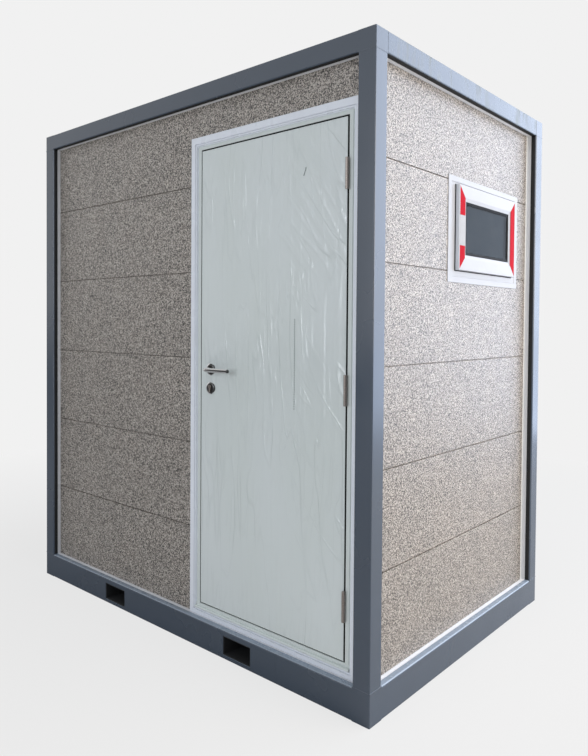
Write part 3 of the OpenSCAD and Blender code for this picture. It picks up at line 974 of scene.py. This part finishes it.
class CABIN_OT_door_surround(bpy.types.Operator):
    """Builds the mitred casing, the rebated frame and the sill"""
    bl_idname = "cabin.door_surround"
    bl_label = "Door surround"

    def execute(self, context):
        low, high = CASING
        front, back = low.y, high.y
        side = DOOR_FRAME[0].x - low.x
        foot = SILL[0].z + (DOOR_FRAME[0].z - 0.022 - SILL[0].z) - low.z
        head = high.z - OVER_DOOR[0].z

        def section(width):
            step = 0.0035
            lip = 0.011
            return [
                (back, 0.0), (front + 0.0015, 0.0), (front, 0.0015), (front, width - lip),
                (front + step, width - lip + 0.0008), (front + step + 0.003, width - lip + 0.0014),
                (front + step + 0.003, width - lip + 0.0030), (front + step, width - lip + 0.0034),
                (front + step, width - 0.0032), (back - 0.001, width - 0.0026), (back - 0.001, width),
                (back, width),
            ]

        mesh = bmesh.new()
        for bar in ring_bars((low.x, low.z), (high.x, high.z), side, foot, head):
            mitred_bar(mesh, section, bar, "Y")
        finish_mesh("mitred_door_casing", mesh, [FINISH["casing"]], "cabin", ["door_casing"], smooth=30)

        frame_low, frame_high = DOOR_FRAME
        jamb = 0.022
        top_w = 0.017
        stop = 0.015
        leaf_back = LEAF[1].y + 0.005

        def rebate(width):
            return [
                (frame_high.y, 0.0), (frame_low.y + 0.004, 0.0), (frame_low.y + 0.004, 0.004),
                (frame_low.y, 0.0055), (frame_low.y, width - 0.001), (frame_low.y + 0.001, width),
                (leaf_back, width), (leaf_back, width + stop), (frame_high.y, width + stop),
            ]

        mesh = bmesh.new()
        sill_top = SILL[1].z
        bars = ring_bars((frame_low.x, sill_top), (frame_high.x, frame_high.z), jamb, 0.0, top_w)
        for bar in (bars[1], bars[2], bars[3]):
            mitred_bar(mesh, rebate, bar, "Y")
        finish_mesh("rebated_door_frame", mesh, [FINISH["door_frame"]], "cabin", ["door_frame"], smooth=30)

        mesh = bmesh.new()
        front, back = frame_low.y + 0.0022, leaf_back - 0.004
        latch_x, hinge_x, head_z = frame_low.x + jamb, frame_high.x - jamb, frame_high.z - top_w
        block(mesh, (latch_x, front, sill_top), (latch_x + 0.0018, back, head_z))
        block(mesh, (latch_x, front, head_z - 0.0032), (hinge_x, back, head_z))
        block(mesh, (latch_x, front + 0.003, sill_top), (hinge_x, back, sill_top + 0.0018))
        finish_mesh("door_seal", mesh, [FINISH["rubber_and_painted_shade"]], "cabin", bevel=0.0004)

        low, high = SILL
        lip_y = CASING[0].y - 0.004
        foot_z = CASING[0].z + foot
        outline = rounded([
            (high.y, low.z, 0), (-WALL_OUT_Y, low.z, 0), (-WALL_OUT_Y, foot_z, 0), (lip_y, foot_z, 0.0045),
            (lip_y, foot_z + 0.010, 0.0045), (LEAF[0].y, foot_z + 0.010, 0.001),
            (LEAF[0].y, sill_top, 0.0015), (high.y, sill_top, 0.001),
        ], 6)
        mesh = bmesh.new()
        prism(mesh, outline, "X", low.x, high.x)
        finish_mesh("folded_sill", mesh, [FINISH["door_frame"]], "cabin", ["door_sill"], smooth=40)
        return {"FINISHED"}


def film_height(x, z):
    """Lift of the door's film, from 0 to 1: pulled streaks, crossed by a few slanting creases."""
    width = LEAF[1].x - LEAF[0].x
    height = LEAF[1].z - LEAF[0].z
    u, v = (x - LEAF[0].x) / width, (z - LEAF[0].z) / height
    sway = 0.018 * noise.noise(Vector((u * 3.1, v * 2.2, 1.7))) + 0.006 * noise.noise(Vector((u * 9, v * 7, 4.1)))
    lift = 0.0
    for wave, drift, seed in ((14.0, 1.3, 0.0), (31.0, 2.1, 5.0), (57.0, 3.0, 9.0)):
        ridge = 1 - abs(noise.noise(Vector(((u + sway) * wave, v * drift, seed)))) * 2.2
        lift += max(0.0, ridge) ** 5 * (14.0 / wave) ** 0.4
    mask = 0.35 + 0.65 * max(0.0, noise.noise(Vector((u * 2.3, v * 1.9, 7.7))) + 0.35)
    lift *= mask * 0.45
    slant = max(0.0, 1 - ((u - 0.86) / 0.30) ** 2) * max(0.0, 1 - ((v - 0.86) / 0.16) ** 2)
    fan = noise.noise(Vector(((u + v * 1.9 + sway) * 17.0, (v - u * 0.6) * 3.0, 12.0)))
    lift += slant * max(0.0, 1 - abs(fan) * 2.6) ** 3 * 0.9
    return lift


class CABIN_OT_door_leaf(bpy.types.Operator):
    """Builds the flush leaf and its wrinkled protective film"""
    bl_idname = "cabin.door_leaf"
    bl_label = "Door leaf"

    def execute(self, context):
        low, high = LEAF
        mesh = bmesh.new()
        block(mesh, low, high)
        finish_mesh("flush_door_leaf", mesh, [FINISH["leaf"]], "door", ["door_leaf"], bevel=0.0012)
        # Black strips along the leaf's top and hinge edges, standing a little proud: painted shadow in the gap.
        mesh = bmesh.new()
        proud, front = 0.0014, low.y - 0.0005
        block(mesh, (high.x - proud, front, low.z + 0.002), (high.x + proud, high.y - 0.002, high.z + proud))
        block(mesh, (low.x + 0.002, front, high.z - proud), (high.x - proud, high.y - 0.002, high.z + proud))
        finish_mesh("leaf_gap_painted_shadow", mesh, [FINISH["rubber_and_painted_shade"]], "door", bevel=0.0004)

        step = 0.0052
        border = 0.0035
        across = int((high.x - low.x - 2 * border) / step)
        upward = int((high.z - low.z - 2 * border) / step)
        lift = sizes().film_lift
        mesh = bmesh.new()
        grid = []
        for i in range(across + 1):
            x = low.x + border + (high.x - low.x - 2 * border) * i / across
            column = []
            for j in range(upward + 1):
                z = low.z + border + (high.z - low.z - 2 * border) * j / upward
                edge = min(i, across - i, j, upward - j)
                fade = min(1.0, edge / 4)
                y = low.y - 0.0003 - lift * fade * film_height(x, z)
                column.append(mesh.verts.new((x, y, z)))
            grid.append(column)
        for i in range(across):
            for j in range(upward):
                mesh.faces.new((grid[i][j], grid[i + 1][j], grid[i + 1][j + 1], grid[i][j + 1]))
        rim = [edge for edge in mesh.edges if edge.is_boundary]
        pulled = bmesh.ops.extrude_edge_only(mesh, edges=rim)
        back = [item for item in pulled["geom"] if isinstance(item, bmesh.types.BMVert)]
        for vertex in back:
            vertex.co.y = low.y + 0.001
        closing = [item for item in pulled["geom"] if isinstance(item, bmesh.types.BMEdge) and item.is_boundary]
        bmesh.ops.holes_fill(mesh, edges=closing, sides=0)
        finish_mesh("door_film", mesh, [FINISH["film"]], "door", smooth=60, flat_faces=False)

        # Perforation dots and a short crease in grey: real marks, partly painted shade along the film's cuts.
        mesh = bmesh.new()
        skin = low.y - sizes().film_lift * 0.9
        dot, pitch = 0.0042, 0.0092
        line_x, line_low, line_high = low.x + 0.531, low.z + 0.890, low.z + 1.232
        level = line_low
        while level < line_high:
            block(mesh, (line_x - 0.0011, skin, level), (line_x + 0.0011, low.y, level + dot))
            level += pitch
        for start, end, bow in (((0.570, 1.772), (0.581, 1.802), 0.003),):
            count = 8
            points = []
            for step in range(count + 1):
                t = step / count
                swell = bow * math.sin(math.pi * t)
                points.append((low.x + start[0] + (end[0] - start[0]) * t + swell,
                               low.z + start[1] + (end[1] - start[1]) * t + swell))
            for first, second in zip(points, points[1:]):
                outline = [(first[0] - 0.001, first[1]), (first[0] + 0.001, first[1]),
                           (second[0] + 0.001, second[1]), (second[0] - 0.001, second[1])]
                prism(mesh, outline, "Y", skin, low.y)
        finish_mesh("film_perforation", mesh, [FINISH["film_mark_and_painted_shade"]], "door")
        return {"FINISHED"}


class CABIN_OT_hinges(bpy.types.Operator):
    """Finishes the three butt hinges"""
    bl_idname = "cabin.hinges"
    bl_label = "Hinges"

    def execute(self, context):
        dress("hinge_frame_side", FINISH["hinge"])
        dress("hinge_leaf_side", FINISH["hinge"])
        return {"FINISHED"}


def swept_tube(mesh, path, radii, segments=24):
    """Adds a round bar along a path in a level plane, with its own radius at each point."""
    rings = []
    count = len(path)
    for i, point in enumerate(path):
        ahead = path[min(i + 1, count - 1)] - path[max(i - 1, 0)]
        ahead.normalize()
        side = ahead.cross(Vector((0, 0, 1))).normalized()
        up = side.cross(ahead)
        ring = []
        for step in range(segments):
            angle = 2 * math.pi * step / segments
            offset = side * math.cos(angle) * radii[i] + up * math.sin(angle) * radii[i]
            ring.append(mesh.verts.new(point + offset))
        rings.append(ring)
    for first, second in zip(rings, rings[1:]):
        for i in range(segments):
            j = (i + 1) % segments
            mesh.faces.new((first[i], first[j], second[j], second[i]))
    mesh.faces.new(rings[0][::-1])
    mesh.faces.new(rings[-1])


def lever_path(face, outward, reach, length, bend):
    """Middle line of one lever: out of the rose, round a bend and along the door."""
    x, z = LEVER_AXIS.x, LEVER_AXIS.z
    path = [Vector((x, face + outward * 0.0006, z))]
    corner_y = face + outward * reach
    path.append(Vector((x, corner_y - outward * bend, z)))
    for step in range(1, 9):
        angle = math.pi / 2 * step / 8
        path.append(Vector((
            x + bend * (1 - math.cos(angle)), corner_y - outward * bend * (1 - math.sin(angle)), z)))
    straight = x + length - 0.004
    for step in range(1, 7):
        path.append(Vector((x + bend + (straight - x - bend) * step / 6, corner_y, z)))
    return path


class CABIN_OT_handle(bpy.types.Operator):
    """Builds the lever, roses and lock"""
    bl_idname = "cabin.handle"
    bl_label = "Handle and lock"

    def execute(self, context):
        radius = (LEVER[1].z - LEVER[0].z) / 2
        reach = LEAF[0].y - LEVER[0].y - radius
        length = LEVER[1].x - LEVER_AXIS.x
        mesh = bmesh.new()
        for face, outward in ((LEAF[0].y, -1), (LEAF[1].y, 1)):
            path = lever_path(face, outward, reach, length, 0.016)
            radii = [radius] * len(path)
            end = path[-1]
            for step in range(1, 6):
                angle = math.pi / 2 * step / 5
                path.append(end + Vector((0.0035 * math.sin(angle), 0, 0)))
                radii.append(radius - 0.0035 * (1 - math.cos(angle)))
            swept_tube(mesh, path, radii, 28)
        turned(mesh, [(0, -0.002), (0.005, -0.002), (0.005, LEAF[1].y - LEAF[0].y + 0.002),
                      (0, LEAF[1].y - LEAF[0].y + 0.002)], (LEVER_AXIS.x, LEAF[0].y, LEVER_AXIS.z), "Y", 16)
        finish_mesh("bent_lever", mesh, [FINISH["steel"]], "lever", ["lever_handle"], smooth=45)

        rose_r = (ROSES[1].x - ROSES[0].x) / 2
        rose_t = LEAF[0].y - ROSES[0].y
        centre_x = (ROSES[0].x + ROSES[1].x) / 2
        lock_z = (PLUGS[0].z + PLUGS[1].z) / 2
        plug_r = (PLUGS[1].z - PLUGS[0].z) / 2
        mesh = bmesh.new()
        for face, outward in ((LEAF[0].y, -1), (LEAF[1].y, 1)):
            for level, bore in ((LEVER_AXIS.z, radius + 0.0006), (lock_z, 0.0)):
                crown = [
                    (rose_r, 0.0), (rose_r, rose_t * 0.45), (rose_r * 0.97, rose_t * 0.75),
                    (rose_r * 0.88, rose_t * 0.93), (rose_r * 0.76, rose_t), (rose_r * 0.6, rose_t),
                ]
                profile = [(max(bore, 0.0), 0.0)] + crown + [(max(bore, 0.0), rose_t)]
                profile = [(r, outward * along) for r, along in profile]
                if bore:
                    profile.append(profile[0])
                turned(mesh, profile, (centre_x, face, level), "Y", 56)
        finish_mesh("domed_roses", mesh, [FINISH["steel"]], "door", ["door_roses"], smooth=40)

        mesh = bmesh.new()
        for face, outward in ((LEAF[0].y, -1), (LEAF[1].y, 1)):
            start = face + outward * rose_t
            proud = outward * 0.0028
            ends = sorted((start - outward * 0.002, start + proud))
            outline = []
            for step in range(25):
                angle = math.radians(-58 + 296 * step / 24)
                outline.append((centre_x + plug_r * math.cos(angle), lock_z + 0.006 + plug_r * math.sin(angle)))
            outline += [(centre_x - 0.0045, lock_z - 0.017), (centre_x + 0.0045, lock_z - 0.017)]
            prism(mesh, outline, "Y", ends[0], ends[1])
            # The key slot's thin faces get the black seal finish: painted shade inside the keyway.
            key_end = sorted((start + proud - outward * 0.001, start + proud + outward * 0.0004))
            block(mesh, (centre_x - 0.0006, key_end[0], lock_z + 0.002), (centre_x + 0.0006, key_end[1], lock_z + 0.011))
            for polygon in mesh.faces:
                if polygon.calc_center_median().z > lock_z + 0.0015 and len(polygon.verts) == 4:
                    span = max(v.co.x for v in polygon.verts) - min(v.co.x for v in polygon.verts)
                    if span < 0.0014 and abs(polygon.calc_center_median().x - centre_x) < 0.0008:
                        polygon.material_index = 1
        finish_mesh("euro_cylinder", mesh, [FINISH["hinge"], FINISH["rubber_and_painted_shade"]], "door", ["lock_cylinder"], smooth=40)
        return {"FINISHED"}


# ---------------------------------------------------------------------------
# Window
# ---------------------------------------------------------------------------

class CABIN_OT_window(bpy.types.Operator):
    """Builds the window's casing, frame, sash, glass and tapes"""
    bl_idname = "cabin.window"
    bl_label = "Window"

    def execute(self, context):
        low, high = WCASING
        face = high.x
        lip = WFRAME[0]

        def casing_section(width):
            return [
                (low.x, 0.0), (face - 0.001, 0.0), (face, 0.001), (face, width * 0.80),
                (face - 0.0025, width * 0.86), (face - 0.0025, width), (low.x, width),
            ]

        mesh = bmesh.new()
        for bar in ring_bars((low.y, low.z), (high.y, high.z), lip.y - low.y, lip.z - low.z, high.z - WFRAME[1].z):
            mitred_bar(mesh, casing_section, bar, "X")
        # Faces towards -Y get the whiter plastic copy: painted light.
        second_finish(mesh, lambda n: n.y < -0.7)
        finish_mesh("mitred_window_casing", mesh, [FINISH["upvc"], FINISH["upvc_painted_light_copy"]], "cabin", ["window_casing"], smooth=30)

        low, high = WFRAME

        def frame_section(width):
            return [
                (low.x, 0.0), (high.x, 0.0), (high.x, width - 0.006), (high.x - 0.006, width),
                (low.x, width),
            ]

        mesh = bmesh.new()
        for bar in ring_bars((low.y, low.z), (high.y, high.z), 0.060, 0.044, 0.044):
            mitred_bar(mesh, frame_section, bar, "X")
        # Faces towards -Y get the whiter plastic copy: painted light.
        second_finish(mesh, lambda n: n.y < -0.7)
        finish_mesh("fixed_window_frame", mesh, [FINISH["upvc"], FINISH["upvc_painted_light_copy"]], "cabin", ["window_frame"], smooth=30)
        low, high = SASH
        # The black ring reaches past the sash's edge, less at the top: that rim is painted shadow in the gap round
        # the sash.
        painted_shadow_rim, inward = 0.0035, WGASKET[0].y - low.y + 0.012

        def gasket_section(width):
            return [
                (WGASKET[0].x, 0.0), (WGASKET[0].x + 0.0012, 0.0), (WGASKET[0].x + 0.002, 0.0008), (WGASKET[0].x + 0.002, painted_shadow_rim - 0.0005),
                (WGASKET[1].x, painted_shadow_rim), (WGASKET[1].x, width), (WGASKET[0].x, width),
            ]

        mesh = bmesh.new()
        for bar in ring_bars((low.y - painted_shadow_rim, low.z - painted_shadow_rim), (high.y + painted_shadow_rim, high.z + painted_shadow_rim * 0.2),
                             painted_shadow_rim + inward, painted_shadow_rim + inward, inward + painted_shadow_rim * 0.2):
            mitred_bar(mesh, gasket_section, bar, "X")
        finish_mesh("sash_gasket", mesh, [FINISH["rubber_and_painted_shade"]], "cabin", ["window_gasket"], smooth=30)

        low, high = SASH
        face_w = 0.066
        rebate = 0.010
        middle = (low.x + high.x) / 2

        def sash_section(width):
            return [
                (low.x, 0.0), (high.x - 0.003, 0.0), (high.x - 0.0008, 0.0012), (high.x, 0.004),
                (high.x, width - 0.016), (high.x - 0.0015, width - 0.014), (high.x - 0.0045, width - 0.001),
                (high.x - 0.006, width), (middle, width), (middle, width - rebate), (low.x, width - rebate),
            ]

        mesh = bmesh.new()
        for bar in ring_bars((low.y, low.z), (high.y, high.z), face_w, face_w, face_w):
            mitred_bar(mesh, sash_section, bar, "X")
        # Faces towards -Y get the whiter plastic copy: painted light.
        second_finish(mesh, lambda n: n.y < -0.7)
        finish_mesh("welded_sash", mesh, [FINISH["upvc"], FINISH["upvc_painted_light_copy"]], "cabin", ["window_sash"], smooth=40)

        dress("window_glass", FINISH["glass"])
        glass_face = GLASS[1].x
        bead = 0.012

        def bead_section(width):
            return [
                (glass_face + 0.0001, 0.0), (middle + 0.0035, 0.0), (middle + 0.0035, width * 0.5),
                (glass_face + 0.0006, width), (glass_face + 0.0001, width),
            ]

        mesh = bmesh.new()
        inner_low = (low.y + face_w, low.z + face_w)
        inner_high = (high.y - face_w, high.z - face_w)
        for bar in ring_bars(inner_low, inner_high, bead, bead, bead):
            mitred_bar(mesh, bead_section, bar, "X")
        finish_mesh("glazing_bead", mesh, [FINISH["rubber_and_painted_shade"]], "cabin", smooth=30)

        mesh = bmesh.new()
        tape_w, start = 0.046, 0.006
        for side in (-1, 1):
            outer = (low.y + start) if side < 0 else (high.y - start)
            inner = outer - side * tape_w
            corner = start
            bottom, top = low.z + corner, high.z - corner
            third = (top - bottom) / 3
            levels = [bottom, bottom + third * 0.85, bottom + third * 1.95, top]
            for index in range(3):
                z0, z1 = levels[index], levels[index + 1]
                inner0 = z0 + (tape_w if index == 0 else 0)
                inner1 = z1 - (tape_w if index == 2 else 0)
                outline = [(outer, z0), (inner, inner0), (inner, inner1), (outer, z1)]
                for polygon in prism(mesh, outline, "X", high.x - 0.0002, high.x + 0.0004):
                    polygon.material_index = 1 if index == 1 and side < 0 else 0
        finish_mesh("window_tape", mesh, [FINISH["tape"], FINISH["bare_tape"]], "cabin")
        return {"FINISHED"}


# ---------------------------------------------------------------------------
# Stage
# ---------------------------------------------------------------------------

BACKDROP = linear("#F1F1F1")


class CABIN_OT_stage(bpy.types.Operator):
    """Sets the pale floor, the soft lights and the camera"""
    bl_idname = "cabin.stage"
    bl_label = "Stage"

    def execute(self, context):
        scene = context.scene
        pale_world(scene)
        pale_floor()
        softbox("key_softbox", (5.1, 0.9, 2.4), (1.1, 0.0, 0.5), 3.0, 2.4, 140, "#FFF2E4")
        softbox("sky_softbox", (3.5, 4.4, 2.9), (1.0, 0.1, 2.6), 4.2, 5.6, 260, "#D6E4FD")
        softbox("overhead_softbox", (2.6, 0.2, 7.0), (1.4, 0.0, 0.0), 4.0, 4.0, 260, "#F2F6FF")
        softbox("front_softbox", (1.2, -7.6, 3.0), (0.0, 0.0, 1.0), 2.8, 2.8, 56, "#EEF4FF")
        softbox("glint_strip", (-1.5, -6.7, 1.9), (0.5, 0.0, 1.3), 0.7, 3.6, 52, "#F2F6FF")
        camera_data = bpy.data.cameras.new("camera")
        camera = bpy.data.objects.new("camera", camera_data)
        scene.collection.objects.link(camera)
        camera_data.sensor_width = 36.0
        camera_data.lens = 32.13
        camera_data.shift_x = 0.016
        camera_data.shift_y = -0.0512
        camera_data.clip_end = 200.0
        pan, tilt, roll = 0.727, -0.023, 0.007
        turn = Matrix.Rotation(pan, 4, "Z") @ Matrix.Rotation(math.pi / 2 + tilt, 4, "X")
        turn = turn @ Matrix.Rotation(roll, 4, "Z")
        camera.matrix_world = Matrix.Translation((2.3637, -2.6542, 1.3919)) @ turn
        scene.camera = camera
        scene.view_settings.view_transform = "Standard"
        return {"FINISHED"}


def pale_world(scene):
    """Soft even light, with the plain backdrop wherever the world itself is seen."""
    world = bpy.data.worlds.new("studio")
    scene.world = world
    world.use_nodes = True
    tree = world.node_tree
    tree.nodes.clear()
    output = add(tree, "ShaderNodeOutputWorld")
    rays = add(tree, "ShaderNodeLightPath").outputs
    seen = calc(tree, "MAXIMUM", rays["Is Camera Ray"],
                calc(tree, "MAXIMUM", rays["Is Glossy Ray"], rays["Is Transmission Ray"]))
    soft = add(tree, "ShaderNodeBackground", {"Color": linear("#E9EEF6"), "Strength": 0.47})
    plain = add(tree, "ShaderNodeBackground", {"Color": BACKDROP, "Strength": 1.0})
    both = add(tree, "ShaderNodeMixShader", {0: seen, 1: soft.outputs[0], 2: plain.outputs[0]})
    tree.links.new(both.outputs[0], output.inputs["Surface"])


def pale_floor():
    """A pale floor that keeps a soft shadow and meets the backdrop without a line."""
    material, tree, output, place = new_material("pale_studio_floor")
    rays = add(tree, "ShaderNodeLightPath").outputs
    matt = add(tree, "ShaderNodeBsdfDiffuse", {"Color": linear("#CFCDC9")})
    near_light = 1.0
    reach = add(tree, "ShaderNodeVectorMath", {0: place}, operation="LENGTH").outputs["Value"]
    plain = add(tree, "ShaderNodeEmission", {
        "Color": BACKDROP, "Strength": ramp(tree, reach, 1.6, 4.5, near_light, 1.0)})
    share = calc(tree, "MULTIPLY", rays["Is Camera Ray"], ramp(tree, reach, 1.6, 4.5, 0.84, 1.0))
    both = add(tree, "ShaderNodeMixShader", {0: share, 1: matt.outputs[0], 2: plain.outputs[0]})
    tree.links.new(both.outputs[0], output.inputs["Surface"])
    mesh = bmesh.new()
    bmesh.ops.create_circle(mesh, cap_ends=True, segments=64, radius=60)
    data = bpy.data.meshes.new("studio_floor")
    mesh.to_mesh(data)
    mesh.free()
    data.materials.append(material)
    floor = bpy.data.objects.new("studio_floor", data)
    bpy.context.scene.collection.objects.link(floor)


def softbox(name, place, aim, width, height, power, colour):
    """A large soft area light, unseen by the camera."""
    data = bpy.data.lights.new(name, "AREA")
    data.shape = "RECTANGLE"
    data.size = width
    data.size_y = height
    data.energy = power
    data.color = linear(colour)[:3]
    lamp = bpy.data.objects.new(name, data)
    bpy.context.scene.collection.objects.link(lamp)
    direction = Vector(aim) - Vector(place)
    lamp.matrix_world = Matrix.Translation(place) @ direction.to_track_quat("-Z", "Y").to_matrix().to_4x4()
    lamp.visible_camera = False


class CABIN_PT_panel(bpy.types.Panel):
    """Lists the cabin's pieces in the sidebar"""
    bl_idname = "CABIN_PT_panel"
    bl_label = "Cabin"
    bl_space_type = "VIEW_3D"
    bl_region_type = "UI"
    bl_category = "Cabin"

    def draw(self, context):
        for group in (context.scene.cabin_sizes, context.scene.cabin_colours):
            box = self.layout.box()
            for name in group.__annotations__:
                box.prop(group, name)
        for operator in STEPS:
            self.layout.operator(operator.bl_idname)


STEPS = (
    CABIN_OT_posts, CABIN_OT_top_frame, CABIN_OT_base_frame, CABIN_OT_welds, CABIN_OT_walls, CABIN_OT_trims,
    CABIN_OT_floor_and_roof, CABIN_OT_door_surround, CABIN_OT_door_leaf, CABIN_OT_hinges, CABIN_OT_handle,
    CABIN_OT_window, CABIN_OT_stage,
)
CLASSES = (CabinSizes, CabinColours) + STEPS + (CABIN_PT_panel,)


def register():
    for item in CLASSES:
        bpy.utils.register_class(item)
    bpy.types.Scene.cabin_sizes = bpy.props.PointerProperty(type=CabinSizes)
    bpy.types.Scene.cabin_colours = bpy.props.PointerProperty(type=CabinColours)


def unregister():
    del bpy.types.Scene.cabin_colours
    del bpy.types.Scene.cabin_sizes
    for item in reversed(CLASSES):
        bpy.utils.unregister_class(item)


def main():
    """Builds every piece."""
    register()
    FINISH.update(make_finishes(bpy.context.scene.cabin_colours))
    for step in STEPS:
        group, name = step.bl_idname.split(".")
        getattr(getattr(bpy.ops, group), name)()
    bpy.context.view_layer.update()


if __name__ == "__main__":
    main()
